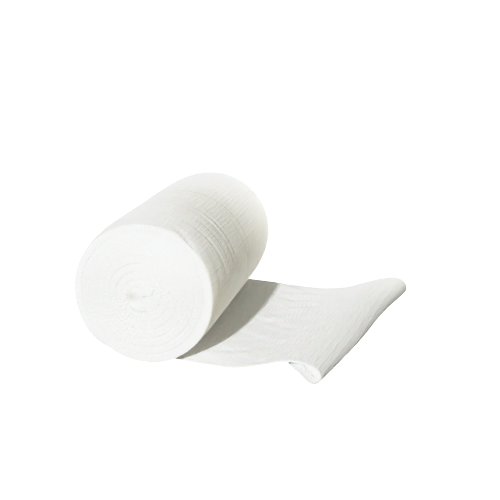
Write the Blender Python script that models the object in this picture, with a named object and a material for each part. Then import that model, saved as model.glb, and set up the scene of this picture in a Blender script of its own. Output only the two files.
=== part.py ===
"""Tubular bandage: a flattened knitted tube wound into a roll, its loose end laid out and turned under.

The roll lies on the floor with its axis along Y and its near end towards -Y. The loose end leaves it
at the floor and runs towards +X. The origin is the centre of the part's footprint, on the floor.
All sizes are in metres unless a table says otherwise.
"""
import math

import bmesh
import bpy
from mathutils import Vector

# Cloth
CLOTH_WIDTH = 0.100          # the tube laid flat, from fold to fold
CLOTH_THICKNESS = 0.0022     # two layers of knit, lying flat
TURN_PITCH = 0.0037          # from one turn of the wound cloth to the next
CLEARANCE = 0.0003           # between the roll and its loose end

# Roll
ROLL_RADIUS = CLOTH_WIDTH / 2.985
AXIS_HEIGHT = 0.987 * ROLL_RADIUS       # the roll settles a little under its own weight
TURNS = 9
CORE_RADIUS = 0.0016
CORE_RISE = 0.06 * ROLL_RADIUS          # turns below the core are pressed thinner than those above it
CORE_DEPTH = 0.0030                     # hollow at the innermost turn
EDGE_FOLD_DEPTH = 0.0009                # groove between one turn's rounded edge and the next
EDGE_FOLD_SHARE = 0.012                 # share of the cloth's width that its edge takes to round over
SAG = 0.0020                            # how far the roll's near end hangs down past the loose end's edge
SAG_START = 0.24 * ROLL_RADIUS          # places along the axis between which it does
SAG_FULL = 0.10 * ROLL_RADIUS

# The roll's near face slants back towards its upper right, and its middle stands out.
FACE_MIDDLE = 0.05                      # how far back its middle lies, in roll radii
FACE_RIM = 0.122                        # how much further back its rim lies, before the slant
FACE_SLANT_RIGHT = 0.098                # and the slant back, for each length to the right and upwards
FACE_SLANT_UP = 0.092
FACE_ONSET = 0.12                       # turns over which the outer turn's edge goes over to the face

# Where the cloth's two edges lie along the roll. The outer turn's near edge runs back to the loose end's,
# and the far end is a little hollow.
EDGE_PLACES = (
    # turns in from the outside, near edge behind the face and far edge, in roll radii
    (0.00, 0.280, 3.265),
    (0.06, 0.120, 3.240),
    (0.16, 0.020, 3.220),
    (0.40, 0.000, 3.205),
    (1.00, 0.000, 3.190),
    (2.00, 0.000, 3.160),
    (4.50, 0.000, 3.125),
    (9.00, 0.000, 3.100),
)

# The wound cloth draws in towards both ends of the roll.
NEAR_DRAW_LENGTH = 0.456 * ROLL_RADIUS
NEAR_DRAW_DEPTH = 0.11 * ROLL_RADIUS
FAR_DRAW_LENGTH = 0.80 * ROLL_RADIUS
FAR_DRAW_DEPTH = 0.19 * ROLL_RADIUS

# Creases run round the upper side of the roll.
CREASES = (
    # place along the axis in roll radii, depth, half width
    (0.74, 0.00045, 0.0016),
    (1.09, 0.00070, 0.0018),
    (1.68, 0.00040, 0.0013),
)
CREASE_CENTRE = math.radians(235)       # round the roll from its foot, by way of the left side and the top
CREASE_REACH = math.radians(75)

# The loose end is turned under along a line that slants across the cloth.
FOLD_SKEW = math.radians(14.5)
FLAP_DRIFT = 0.45                       # slant of the flap's near edge beyond that of the fold
FLAP_DRIFT_ONSET = 0.30 * ROLL_RADIUS   # length of flap over which that slant comes in
# The cloth's middle surface above the lying cloth's, square to the fold line, in roll radii.
FOLD_PROFILE = (
    # place, near edge's distance and height, far edge's distance and height
    ("leaves floor", 0.740, 0.000, 1.060, 0.000),
    ("foot of rise", 1.120, 0.018, 1.360, 0.036),
    ("rise", 1.460, 0.096, 1.640, 0.138),
    ("shoulder", 1.730, 0.190, 1.890, 0.232),
    ("crest", 1.930, 0.222, 2.120, 0.280),
    ("brow", 2.110, 0.200, 2.228, 0.238),
    ("front", 2.240, 0.105, 2.265, 0.140),
    ("toe", 2.185, 0.018, 2.200, 0.028),
    ("turned under", 2.060, 0.000, 2.060, 0.000),
    ("cut end", 1.700, 0.000, 1.840, 0.000),
)
# The fold line bows a little.
FOLD_BOW = (
    # share of the width from the near edge, shift square to the line in roll radii
    (0.00, 0.025),
    (0.30, 0.030),
    (0.75, -0.035),
    (1.00, -0.010),
)
# The cloth's edges wander along its length.
EDGE_WANDER = (
    # distance along the cloth, shift of the near edge and of the far edge, all in roll radii
    (0.00, 0.070, 0.000),
    (0.80, 0.020, -0.015),
    (1.80, -0.020, -0.130),
    (2.60, -0.050, -0.010),
    (3.50, -0.040, 0.000),
)

# Mesh
STEPS_ROUND = 48
SIDE_RINGS = 10
RINGS_PER_TURN = 3           # rings of points across each turn's rounded edge
CLOTH_ROWS = 14              # points across the loose end
FLAT_COLUMNS = 7             # points along the stretch that lies flat
FOLD_COLUMNS = 34            # points along the stretch that rises and turns under
FOLD_SAMPLES = 12            # curve samples between two rows of the fold's table
EDGE_ROUNDING = 0.0007

STEP_HEIGHT = CLOTH_THICKNESS + CLEARANCE
OUTER_RADIUS = ROLL_RADIUS + TURN_PITCH / 2
AXIS_X = TURN_PITCH / 4      # centres the spiral outline on x = 0
ROLL_LENGTH = EDGE_PLACES[0][2] * ROLL_RADIUS


def mix(a, b, t):
    return a + (b - a) * t


def ease(t):
    t = min(max(t, 0.0), 1.0)
    return t * t * (3 - 2 * t)


def from_table(rows, x):
    """Read a table at x, where x is its first column, eased between its rows."""
    for before, after in zip(rows, rows[1:]):
        if x <= after[0]:
            t = ease((x - before[0]) / (after[0] - before[0]))
            return [mix(a, b, t) for a, b in zip(before[1:], after[1:])]
    return list(rows[-1][1:])


def edge_y(turns_in, share):
    """Y at a share of the cloth's width where it is wound square, that many turns in from the outside."""
    near, far = from_table(EDGE_PLACES, turns_in)
    return mix(near, far, share) * ROLL_RADIUS


def face_y(turns_in, radius):
    """How far back the near face lies, at a place on it."""
    angle = turns_in * math.tau
    out = radius / ROLL_RADIUS
    slant = -out * (FACE_SLANT_RIGHT * math.sin(angle) + FACE_SLANT_UP * math.cos(angle))
    return (FACE_MIDDLE + FACE_RIM * out ** 1.5 + slant) * ROLL_RADIUS * ease(turns_in / FACE_ONSET)


def roll_y(turns_in, share):
    """Y on the roll at a share of the wound cloth's width, that many turns in from the outside."""
    radius = max(OUTER_RADIUS - TURN_PITCH * turns_in, CORE_RADIUS)
    return edge_y(turns_in, share) + face_y(turns_in, radius) * (1 - share)


def draw_in(distance, length, depth):
    """How far the side is drawn in, at a distance from that end of the roll."""
    k = 1 - min(max(distance / length, 0.0), 1.0)
    return depth * (1 - math.sqrt(1 - k * k))


def crease_depth(angle, y):
    """How deep the creases are at this place on the roll's side."""
    off = min(abs(angle - CREASE_CENTRE) / CREASE_REACH, 1.0)
    depth = sum(deep * math.exp(-((y - place * ROLL_RADIUS) / half_width) ** 2)
                for place, deep, half_width in CREASES)
    return depth * math.cos(off * math.pi / 2) ** 2


def side_radius(turn, share):
    """Radius of the outermost turn, part of a turn round from the foot, at a share of the cloth's width."""
    y = roll_y(turn, share)
    radius = OUTER_RADIUS - TURN_PITCH * turn
    radius -= draw_in(y - face_y(turn, radius), NEAR_DRAW_LENGTH, NEAR_DRAW_DEPTH)
    radius -= draw_in(ROLL_LENGTH - y, FAR_DRAW_LENGTH, FAR_DRAW_DEPTH)
    return radius - crease_depth(turn * math.tau, y)


def wound_radius(turns_in, share):
    """Radius of the spiral at an end of the roll, any number of turns in."""
    if turns_in <= 1:
        return side_radius(turns_in, share)
    start = side_radius(1, share)
    return mix(start, CORE_RADIUS, (turns_in - 1) / (TURNS - 1))


def round_point(turn, turns_below, radius, y):
    """A point round the roll, pressed flat where it lies on the floor or on the turns below it.

    A turn starts at the foot of the roll and goes by way of the left side and the top.
    """
    angle = turn * math.tau
    axis_z = AXIS_HEIGHT + CORE_RISE * max(0.0, 1 - radius / ROLL_RADIUS)
    unsupported = ease((SAG_START - y) / (SAG_START - SAG_FULL))
    turns_below = max(0.0, turns_below - unsupported)
    x = AXIS_X - radius * math.sin(angle)
    z = axis_z - radius * math.cos(angle) - SAG * unsupported * max(0.0, math.cos(angle))
    return Vector((x, y, max(z, STEP_HEIGHT * turns_below)))


def side_shares():
    """Shares of the cloth's width at which the side has a ring of points."""
    shares = [EDGE_FOLD_SHARE, 1 - EDGE_FOLD_SHARE]
    shares += [ease(i / SIDE_RINGS) * 0.94 + 0.03 for i in range(SIDE_RINGS + 1)]
    start, width = roll_y(0.65, 0), roll_y(0.65, 1) - roll_y(0.65, 0)
    for place, _, half_width in CREASES:
        shares += [(place * ROLL_RADIUS - start + k * half_width) / width for k in (-1.4, 0, 1.4)]
    shares.sort()
    return [b for a, b in zip([0] + shares, shares) if b - a > 0.006]


def side_ring(bm, share):
    """A closed ring of points round the side, and down the step where the loose end leaves the roll."""
    ring = []
    for i in range(STEPS_ROUND + 1):
        turn = i / STEPS_ROUND
        ring.append(round_point(turn, round(turn), side_radius(turn, share), roll_y(turn, share)))
    first, last = ring[0], ring[-1]
    ring += [last.lerp(first, k / RINGS_PER_TURN) for k in range(1, RINGS_PER_TURN)]
    return [bm.verts.new(point) for point in ring]


def end_point(ring, i, share, outward):
    """A point of the spiral on an end face. Every RINGS_PER_TURN rings there is a groove."""
    turn = i / STEPS_ROUND
    whole, part = divmod(ring, RINGS_PER_TURN)
    radius = mix(wound_radius(whole + turn, share), wound_radius(whole + 1 + turn, share),
                 part / RINGS_PER_TURN)
    side = 1 if outward > 0 else 0
    edge = roll_y(whole + turn, side)
    if part == 0:
        edge = mix(edge, roll_y(whole + turn - 1, side), 0.5) - outward * EDGE_FOLD_DEPTH
    return round_point(turn, ring / RINGS_PER_TURN + round(turn), radius, edge)


def end_face(bm, outline, share, outward):
    """Close an end of the roll with a spiral of rounded edges, from its outline to the core."""
    n = STEPS_ROUND
    step = [outline[0]] + outline[:n:-1] + [outline[n]]
    grid = [outline[:n + 1]]
    for ring in range(1, (TURNS - 1) * RINGS_PER_TURN + 1):
        start = step[ring] if ring <= RINGS_PER_TURN else grid[ring - RINGS_PER_TURN][n]
        grid.append([start] + [bm.verts.new(end_point(ring, i, share, outward)) for i in range(1, n + 1)])
    for outer, inner in zip(grid, grid[1:]):
        for i in range(n):
            bm.faces.new((outer[i], outer[i + 1], inner[i + 1], inner[i]))
    core = grid[-1] + [row[n] for row in grid[-2:-1 - RINGS_PER_TURN:-1]]
    centre = sum((v.co for v in core), Vector()) / len(core)
    tip = bm.verts.new(centre - Vector((0, outward * CORE_DEPTH, 0)))
    for a, b in zip(core, core[1:] + core[:1]):
        bm.faces.new((a, b, tip))


def build_roll():
    bm = bmesh.new()
    rings = [side_ring(bm, share) for share in side_shares()]
    for a, b in zip(rings, rings[1:]):
        for k in range(len(a)):
            j = (k + 1) % len(a)
            bm.faces.new((a[k], a[j], b[j], b[k]))
    end_face(bm, rings[0], EDGE_FOLD_SHARE, -1)
    end_face(bm, rings[-1], 1 - EDGE_FOLD_SHARE, 1)
    bmesh.ops.recalc_face_normals(bm, faces=bm.faces)
    return bm


def curve_through(points):
    """Points along a smooth curve through the given ones, and where each given one falls in the list."""
    curve = []
    marks = []
    for k in range(len(points) - 1):
        before = points[max(k - 1, 0)]
        a, b = points[k], points[k + 1]
        after = points[min(k + 2, len(points) - 1)]
        length = (b - a).length
        tangent_a = (b - before).normalized() * length
        tangent_b = (after - a).normalized() * length
        marks.append(len(curve))
        for i in range(FOLD_SAMPLES):
            t = i / FOLD_SAMPLES
            h = t * t * (3 - 2 * t)
            bend = tangent_a * (t * (1 - t) ** 2) - tangent_b * (t * t * (1 - t))
            curve.append(a.lerp(b, h) + bend)
    marks.append(len(curve))
    curve.append(points[-1].copy())
    return curve, marks


def fold_curve(across):
    """The turned stretch square to the fold line: (distance, height, length along the cloth) for each column."""
    points = [Vector((mix(near_n, far_n, across), mix(near_z, far_z, across))) * ROLL_RADIUS
              for _, near_n, near_z, far_n, far_z in FOLD_PROFILE]
    curve, marks = curve_through(points)
    lengths = [0.0]
    for a, b in zip(curve, curve[1:]):
        lengths.append(lengths[-1] + (b - a).length)
    columns = []
    k = 0
    for i in range(FOLD_COLUMNS + 1):
        target = lengths[-1] * i / FOLD_COLUMNS
        while k < len(curve) - 2 and lengths[k + 1] < target:
            k += 1
        point = curve[k].lerp(curve[k + 1], (target - lengths[k]) / (lengths[k + 1] - lengths[k]))
        columns.append((point.x, max(point.y, 0.0), target))
    toe = [row[0] for row in FOLD_PROFILE].index("toe")
    return columns, lengths[marks[toe]]


def cloth_row(across):
    """The loose end's middle surface along its length, at one place across its width."""
    cos, sin = math.cos(FOLD_SKEW), math.sin(FOLD_SKEW)
    row_y = edge_y(0, across)
    start = (AXIS_X + CLEARANCE) * cos - row_y * sin
    fold, toe = fold_curve(across)
    leaves = fold[0][0]
    columns = [(mix(start, leaves, i / FLAT_COLUMNS), 0.0, mix(start, leaves, i / FLAT_COLUMNS))
               for i in range(FLAT_COLUMNS)]
    columns += [(n, z, leaves + length) for n, z, length in fold]
    bow = from_table(FOLD_BOW, across)[0] * ROLL_RADIUS
    row = []
    for n, z, along in columns:
        n += bow * ease((along - leaves) / toe)
        near_shift, far_shift = from_table(EDGE_WANDER, (along + row_y * sin) / cos / ROLL_RADIUS)
        wander = mix(near_shift * (1 - across) ** 3, far_shift, across ** 3) * ROLL_RADIUS
        q = (row_y + wander + along * sin) / cos
        flap = max(0.0, along - leaves - toe)
        drift = FLAP_DRIFT * flap * ease(flap / FLAP_DRIFT_ONSET) * (1 - across)
        row.append(Vector((n * cos + q * sin, q * cos - n * sin + drift, z + CLOTH_THICKNESS / 2)))
    return row


def build_loose_end():
    bm = bmesh.new()
    rows = [[bm.verts.new(point) for point in cloth_row(i / (CLOTH_ROWS - 1))] for i in range(CLOTH_ROWS)]
    for a, b in zip(rows, rows[1:]):
        for k in range(len(a) - 1):
            bm.faces.new((a[k], a[k + 1], b[k + 1], b[k]))
    return bm


def make_material(name, color, roughness):
    material = bpy.data.materials.new(name)
    material.use_nodes = True
    shader = material.node_tree.nodes["Principled BSDF"]
    shader.inputs["Base Color"].default_value = (*color, 1.0)
    shader.inputs["Roughness"].default_value = roughness
    shader.inputs["Metallic"].default_value = 0.0
    return material


def make_object(name, bm, color):
    mesh = bpy.data.meshes.new(name)
    bm.to_mesh(mesh)
    bm.free()
    mesh.shade_smooth()
    mesh.materials.append(make_material(name + "_knit", color, 0.9))
    obj = bpy.data.objects.new(name, mesh)
    bpy.context.collection.objects.link(obj)
    return obj


def thicken(obj):
    """Give the middle surface the cloth's thickness, and round its edges."""
    solidify = obj.modifiers.new("thickness", "SOLIDIFY")
    solidify.thickness = CLOTH_THICKNESS
    solidify.offset = 0.0
    solidify.use_even_offset = True
    bevel = obj.modifiers.new("rounded edges", "BEVEL")
    bevel.width = EDGE_ROUNDING
    bevel.segments = 1
    bevel.limit_method = "ANGLE"
    bevel.angle_limit = math.radians(60)


def centre(objects):
    """Put the origin at the centre of the footprint, on the floor."""
    points = [v.co for obj in objects for v in obj.data.vertices]
    for axis in (0, 1):
        low = min(p[axis] for p in points)
        high = max(p[axis] for p in points)
        for p in points:
            p[axis] -= (low + high) / 2


def main():
    for obj in list(bpy.data.objects):
        bpy.data.objects.remove(obj, do_unlink=True)
    roll = make_object("roll", build_roll(), (0.90, 0.90, 0.87))
    loose_end = make_object("loose_end", build_loose_end(), (0.88, 0.88, 0.85))
    thicken(loose_end)
    centre((roll, loose_end))


main()
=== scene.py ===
import math

import bpy
import numpy as np
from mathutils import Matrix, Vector


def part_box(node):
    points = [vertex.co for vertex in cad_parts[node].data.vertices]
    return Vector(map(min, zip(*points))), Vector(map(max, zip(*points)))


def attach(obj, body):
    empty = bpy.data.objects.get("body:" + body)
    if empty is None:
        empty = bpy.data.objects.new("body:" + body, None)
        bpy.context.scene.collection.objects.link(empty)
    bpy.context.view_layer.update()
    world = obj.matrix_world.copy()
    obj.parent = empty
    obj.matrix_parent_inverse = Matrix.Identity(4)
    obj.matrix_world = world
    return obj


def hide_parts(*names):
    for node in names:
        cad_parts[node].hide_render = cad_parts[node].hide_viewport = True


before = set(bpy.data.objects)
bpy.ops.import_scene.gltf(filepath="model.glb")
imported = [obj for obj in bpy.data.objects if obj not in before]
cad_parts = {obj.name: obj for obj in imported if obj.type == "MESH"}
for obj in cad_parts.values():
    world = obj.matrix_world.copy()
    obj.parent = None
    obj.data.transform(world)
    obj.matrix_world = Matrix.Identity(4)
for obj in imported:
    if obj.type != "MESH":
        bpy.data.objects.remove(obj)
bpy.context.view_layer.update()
bpy.ops.object.select_all(action="DESELECT")

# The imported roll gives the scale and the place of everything.
ROLL_LOW, ROLL_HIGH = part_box("roll")
ROLL_RADIUS = ROLL_HIGH.z / 1.987        # pressed a little flat below, the roll is lower than two radii
ROLL_FRONT = 0.026 * ROLL_RADIUS         # where the near face's foremost place lies
# Near end of the roll's axis, on the floor
PLACE = Vector((ROLL_LOW.x + ROLL_RADIUS, ROLL_LOW.y - ROLL_FRONT, 0.0))

# Cloth, in metres
CLOTH_WIDTH = 2.985 * ROLL_RADIUS
LYING_THICKNESS = 0.0022     # both layers, where the cloth lies on the floor
TURN_PITCH = 0.0037          # both layers, and the air in them, where it is wound
STEP_HEIGHT = 0.0025         # a turn that lies on the loose end is this far above the floor
COURSE = 0.00103             # rows of stitches, along the cloth, every second one raised a little more
WALE = 0.00092               # columns of stitches, across the cloth
RIB = 0.000036               # height of a row of stitches, each way
RIB_WAVES = (0.8, 0.6)       # share of every row and of every second row in that height
WOUND_FLAT_EDGE = 120        # the relief fades over one part in this many of the width, at both edges
LYING_COURSE = 0.00095       # rows of stitches on the loose end, before the fold stretches them
LYING_RIB = 0.000028
LYING_RIB_WAVES = (1.0, 0.6)
FLAT_EDGE = 0.0012           # the relief fades over this width at both edges
# How much further apart they are at the fold, from where on and over what length, in roll radii
FOLD_STRETCH = (0.50, 1.5, 0.6)
# How much the rows stand out: before the fold, more at the fold, and less in the turned-under part; then from
# where and over what length each change comes, in roll radii
RIB_BEFORE_FOLD = 0.7
RIB_AT_FOLD = (2.5, 1.3, 0.7)
RIB_UNDER_FOLD = (0.6, 2.5, 0.5)
# How much less they stand out at the far edge, from where on and over what length, in shares of the width
RIB_FAR_EDGE = (0.55, 0.72, 0.2)

# Roll
AXIS_HEIGHT = 0.987 * ROLL_RADIUS
OUTER_RADIUS = ROLL_RADIUS + TURN_PITCH / 2
AXIS_X = TURN_PITCH / 4
TURNS = 9
THINNEST_TURN = 0.62         # thickness of the last turn, as a share of the others'
TURN_UNEVEN = 0.00016        # how far the turns wander from an even spiral
CORE_RADIUS = 0.0016
CORE_RISE = 0.06 * ROLL_RADIUS           # how far the core lies above the axis
CORE_REACH = 0.0062          # within this radius the turns are wider than high, and lie a little aside
CORE_WIDER = 0.30
CORE_FLATTER = 0.26
CORE_ASIDE = 0.0008
OUTER_TURNS = 1.04           # the outer piece has the first turn and a little more
INNER_END = 8.40             # turns in at which the inner turns stop
SAG = 0.0020                 # how far the roll sags in front of the loose end, which doesn't carry it there
SAG_START = 0.24 * ROLL_RADIUS
SAG_FULL = 0.10 * ROLL_RADIUS
REST_SOFTNESS = 0.0008       # how gently the turns flatten where they rest
EDGE_PLACES = (
    # turns in, near edge behind the face and far edge along the axis, in roll radii
    (0.00, 0.330, 3.265),
    (0.06, 0.150, 3.240),
    (0.16, 0.024, 3.220),
    (0.26, 0.004, 3.212),
    (0.40, 0.000, 3.205),
    (1.00, 0.000, 3.190),
    (1.80, 0.000, 3.165),
    (3.00, 0.000, 3.145),
    (4.50, 0.000, 3.125),
    (6.00, 0.000, 3.112),
    (7.50, 0.000, 3.104),
    (9.00, 0.000, 3.100),
    (10.0, 0.000, 3.100),
)
EDGE_UNEVEN = 0.00013        # how far the edges wander from those places
# The near face slants back towards its upper right, and its middle stands out. In roll radii.
FACE_MIDDLE = 0.05           # how far back the middle lies, and how much further the rim
FACE_RIM = 0.122
FACE_CURVE = 1.5             # power of the radius that the face falls back with
FACE_SLANT_RIGHT = 0.098
FACE_SLANT_UP = 0.092
FACE_ONSET = 0.12            # turns in over which the cloth's start reaches the face
ROLL_LENGTH = EDGE_PLACES[0][2] * ROLL_RADIUS
# The roll narrows towards its near end: length, depth and power
NEAR_TAPER = (0.456 * ROLL_RADIUS, 0.0019, 2.2)
NEAR_FULLER = (0.85, 0.87, 0.15)         # and narrows less low on the right: share, turns in, reach
NEAR_ROUND = 0.0016                      # radius of the rim there
NEAR_ROUND_END = (0.90, 0.08)            # turns in at which the rounding fades, and over how many
FAR_DRAW = (0.80 * ROLL_RADIUS, 0.19 * ROLL_RADIUS)
TURN_GAP = 0.00003           # air between one turn and the next

# Grooves between one turn's edge and the next, on the two ends
GROOVE = 0.00006
GROOVE_UNEVEN = 0.45
DEEP_GROOVES = (
    # turns in at the groove's middle, reach in turns, extra depth
    (5.37, 0.24, 0.00038),
    (6.36, 0.22, 0.00026),
    (7.34, 0.22, 0.00022),
    (8.36, 0.30, 0.00029),
    (4.36, 0.18, 0.00011),
    (1.38, 0.14, 0.00010),
    (1.93, 0.12, 0.00010),
    (2.90, 0.12, 0.00010),
    (3.90, 0.12, 0.00010),
    (4.88, 0.13, 0.00010),
    (5.86, 0.13, 0.00010),
    (5.08, 0.10, 0.00008),
)
# The cloth's edge dips a little between its two layers.
EDGE_DIP = (0.00003, 0.16)   # depth, and half width as a share of the layer
# Ridges of the stitches across each turn's edge
EDGE_STITCH = 2 * COURSE
EDGE_RIDGE = 0.000135
EDGE_RIDGE_UNEVEN = 0.7
EDGE_RIDGE_REST = 0.45       # share of a ridge's height that stays between two stitches
STRONG_RIDGES = (
    # turns in at the middle, reach in turns, extra height: lower left and right of the core
    (3.14, 0.16, 0.000080),
    (4.12, 0.18, 0.000120),
    (5.12, 0.18, 0.000160),
    (6.10, 0.20, 0.000180),
    (7.10, 0.22, 0.000160),
    (5.72, 0.16, 0.000120),
    (6.72, 0.18, 0.000160),
    (7.72, 0.20, 0.000130),
)

# Creases and soft swells round the outer turn
CREASE_WOBBLE = 0.004        # how far a crease wanders from its line, in roll radii
CREASES = (
    # place in roll radii, drift in radii over half a turn, depth, half width, middle and reach in degrees
    (0.535, -0.950, 0.00056, 0.00112, 224, 45),
    (0.400, 0.020, 0.00030, 0.00101, 226, 66),
    (0.470, 0.030, 0.00048, 0.00090, 244, 60),
    (0.530, 0.000, 0.00036, 0.00078, 226, 51),
    (0.600, 0.050, 0.00010, 0.00056, 228, 28),
    (0.643, 0.250, 0.00049, 0.00090, 206, 84),
    (0.770, 0.050, 0.00013, 0.00078, 226, 30),
    (0.820, 0.000, 0.00025, 0.00078, 231, 36),
    (0.890, 0.080, 0.00050, 0.00090, 220, 54),
    (0.985, 0.050, 0.00017, 0.00078, 226, 36),
    (1.070, 0.050, 0.00054, 0.00090, 218, 66),
    (1.130, 0.050, -0.00030, 0.00101, 222, 51),
    (1.185, 0.060, 0.00050, 0.00090, 222, 56),
    (1.290, 0.050, 0.00017, 0.00078, 224, 39),
    (1.350, 0.050, 0.00015, 0.00078, 222, 36),
    (1.420, 0.050, 0.00017, 0.00078, 224, 39),
    (1.500, 0.200, -0.00026, 0.00134, 218, 60),
    (1.553, 0.200, 0.00037, 0.00078, 209, 135),
    (1.700, 0.100, 0.00009, 0.00070, 222, 30),
    (1.800, 0.050, -0.00011, 0.00080, 226, 30),
    (1.900, 0.050, 0.00011, 0.00080, 222, 34),
    (2.070, 0.050, 0.00009, 0.00080, 226, 30),
    (2.240, 0.050, 0.00014, 0.00090, 224, 36),
    (2.330, 0.050, -0.00014, 0.00090, 228, 34),
    (2.600, 0.020, 0.00014, 0.00140, 220, 50),
)
SWELLS = (
    # place in roll radii, height, half width in radii, middle and reach in degrees
    (0.45, 0.00076, 0.10, 220, 70),
    (0.62, 0.00041, 0.07, 225, 50),
    (0.82, 0.00056, 0.08, 228, 60),
    (1.00, 0.00045, 0.07, 226, 50),
    (1.38, 0.00076, 0.14, 225, 70),
    (2.00, 0.00066, 0.22, 205, 90),
)
THREAD_PLACE = 0.425         # marker thread at the start of the turn, as a share of the cloth's width
THREAD_SLANT = 0.058         # and how far it wanders across the cloth for each metre along, in metres
THREAD_HALF = 0.00036        # half its width

# Loose end: the same form as its solid, with the wrinkles of soft knit
LOOSE_EDGES = (0.280, 3.265)             # its near and far edge where it leaves the roll, in roll radii
LOOSE_LENGTH = 3.62 * ROLL_RADIUS
EDGE_THINNER = 0.0012        # how much thinner the cloth lies at its edges
UNDER_THINNER = 1.2          # and how many times that on its lower side, where it rises to the fold
RISE = (0.95, 0.95)          # where it starts to rise, and over what length, in roll radii
TOE_BAND = 0.006             # over this length up to the toe of the fold, the lower side stops being thinner
NEAR_BAND = 0.0090           # the near edge thins over this width, and the far edge over the next one
FAR_BAND = 0.0030
EDGE_BULGE = 0.0011          # how far the edges bulge sideways at most
EDGE_NOTCH = 0.06            # how much the stitches notch that bulge
# At its near edge the fold is filled but for a slit. Distances are along the cloth from the toe of the fold.
FRONT_FILL = 0.0036          # how far the front of the fold swells inwards
FRONT_START = (-0.0120, 0.004)           # where that swelling starts and ends, and over what length each
FRONT_END = (0.004, 0.005)
HEM_FILL = 0.68              # share of the room under the fold that the turned-under cloth takes
HEM_START = (0.001, 0.006)
FILL_REACH = 0.13            # how far in from the near edge the fill reaches, as a share of the width
SOME_FILL = 0.0003           # a fill thicker than this has no notches
FOLD_SKEW = math.radians(14.5)
# Share of the skew that the rows turn by, from where on and over what length, in roll radii
FOLD_SWING = (0.78, 0.9, 1.15)
FLAP_DRIFT = 0.45            # how much the turned-under part slants, at its near edge
FLAP_DRIFT_ONSET = 0.30 * ROLL_RADIUS
FOLD_PROFILE = (
    # near edge's distance and height, far edge's distance and height, in roll radii
    (0.740, 0.000, 1.060, 0.000),
    (1.120, 0.018, 1.360, 0.036),
    (1.460, 0.096, 1.640, 0.138),
    (1.730, 0.190, 1.890, 0.232),
    (1.930, 0.222, 2.120, 0.280),
    (2.110, 0.200, 2.228, 0.238),
    (2.240, 0.105, 2.265, 0.140),
    (2.185, 0.018, 2.200, 0.028),
    (2.060, 0.000, 2.060, 0.000),
    (1.700, 0.000, 1.840, 0.000),
)
TOE_ROW = 7                  # the row of that profile where the toe of the fold is
FOLD_STEPS = 12              # places from one row to the next
# Place across the cloth, and how far the fold bows out there, in roll radii
FOLD_BOW = ((0.00, 0.025), (0.30, 0.030), (0.75, -0.035), (1.00, -0.010))
EDGE_WANDER = (
    # distance along the cloth, shift of the near edge and of the far edge, all in roll radii
    (0.00, 0.080, 0.000),
    (0.80, 0.040, -0.015),
    (1.80, -0.010, -0.130),
    (2.30, -0.030, -0.050),
    (2.62, -0.120, -0.010),
    (3.00, -0.140, 0.000),
    (3.50, -0.100, 0.000),
)
WAVES = (0.00012, 0.00007)               # heights of the long and the short waves in the cloth
WAVES_END = (1.9, 0.4)                   # where they fade, and over what length, in roll radii
WRINKLE_WANDER = 0.0009
WRINKLE_REACH = 0.62                     # a wrinkle fades to nothing this share of its length from its middle
WRINKLES = (
    # from and to: distance along the cloth and place across it, in roll radii; height; half width
    (0.95, 3.04, 2.30, 3.12, 0.00022, 0.0011),
    (1.05, 2.90, 1.90, 2.95, -0.00019, 0.0010),
    (1.30, 2.80, 2.20, 2.86, 0.00019, 0.0011),
    (1.10, 2.62, 2.25, 2.70, -0.00027, 0.0013),
    (1.25, 2.50, 1.80, 2.56, 0.00017, 0.0011),
    (1.40, 2.22, 2.00, 2.52, -0.00033, 0.0013),
    (1.36, 2.10, 1.85, 2.36, 0.00022, 0.0014),
    (1.20, 1.66, 1.58, 1.74, -0.00033, 0.0014),
    (1.10, 1.78, 1.50, 1.84, 0.00022, 0.0015),
    (0.45, 0.57, 1.52, 0.70, -0.00025, 0.0011),
    (1.50, 0.70, 1.86, 1.02, -0.00025, 0.0014),
    (1.70, 1.30, 2.20, 1.66, 0.00025, 0.0018),
    (1.62, 1.90, 2.30, 2.16, 0.00022, 0.0018),
    (1.90, 1.16, 2.36, 1.36, -0.00022, 0.0016),
    (0.60, 1.20, 1.20, 1.32, 0.00014, 0.0023),
)


def mix(a, b, t):
    return a + (b - a) * t


def ease(t):
    t = np.clip(t, 0.0, 1.0)
    return t * t * (3 - 2 * t)


def window(x, middle, reach):
    """1 at the middle, falling smoothly to 0 at the reach on either side."""
    return np.cos(np.clip(np.abs(x - middle) / reach, 0.0, 1.0) * np.pi / 2) ** 2


def from_table(rows, x, column):
    """One column of a table at x, which is its first column, eased between its rows."""
    places = np.array([row[0] for row in rows])
    values = np.array([row[column] for row in rows])
    k = np.clip(np.searchsorted(places, x, side="right") - 1, 0, len(rows) - 2)
    return mix(values[k], values[k + 1], ease((x - places[k]) / (places[k + 1] - places[k])))


def uneven(x, seed):
    """A smooth uneven line about zero, mostly within one either way, whose waves start at one unit long."""
    random = np.random.default_rng(seed)
    total = 0.0
    for k in range(6):
        stretch = 1.0 + 0.73 * k
        wave = np.sin(math.tau * (x * stretch * random.uniform(0.8, 1.2) + random.uniform()))
        total = total + wave / (1 + 0.6 * k)
    return total / 1.6


def step(x, place, length):
    """0 up to the place, rising smoothly to 1 over the length."""
    return ease((x - place) / length)


def spread(low, high, count, density):
    """That many places from low to high, closer together where the density is greater."""
    fine = np.linspace(low, high, 4000)
    weight = np.concatenate([[0.0], np.cumsum(0.5 * (density(fine)[1:] + density(fine)[:-1]))])
    return np.interp(np.linspace(0, weight[-1], count), weight, fine)


def soft_max(a, b, softness):
    return 0.5 * (a + b + np.sqrt((a - b) ** 2 + softness ** 2))


# The wound cloth

def face_y(turns_in, radius):
    """How far back the near face lies, at a place on it."""
    angle = turns_in * math.tau
    out = radius / ROLL_RADIUS
    slant = -out * (FACE_SLANT_RIGHT * np.sin(angle) + FACE_SLANT_UP * np.cos(angle))
    back = (FACE_MIDDLE + FACE_RIM * out ** FACE_CURVE + slant) * ROLL_RADIUS
    return back * ease(turns_in / FACE_ONSET)


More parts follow.
